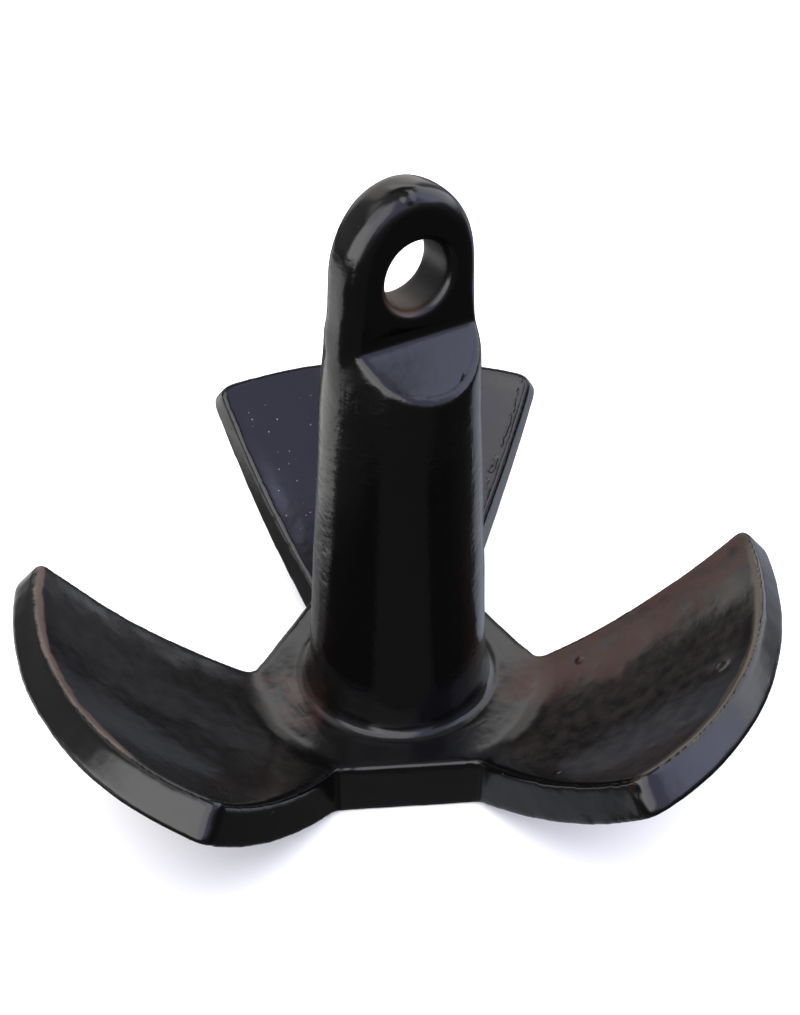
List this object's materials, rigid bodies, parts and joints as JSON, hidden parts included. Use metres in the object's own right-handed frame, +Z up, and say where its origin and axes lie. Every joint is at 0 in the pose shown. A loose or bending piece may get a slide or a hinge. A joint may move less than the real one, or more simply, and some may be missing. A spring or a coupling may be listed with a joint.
{
  "type": "river anchor",
  "caption": "Vinyl-coated cast iron river anchor: a tapered round shank with a flat-sided eye, on a hub with cupped flukes.",
  "frame": {"origin": "middle of the flat underside, on the shank's axis", "axes": "+Z up along the shank, Y along the bore of the eye, first fluke near -X"},
  "size_m": [0.2423, 0.2573, 0.2115],
  "materials": {
    "black_vinyl": "black vinyl dip over cast iron, satin to glossy, with fine pits, lumps and a thin brownish film"
  },
  "bodies": {
    "root": {"anchor_casting": "black_vinyl"}
  },
  "joints": []
}
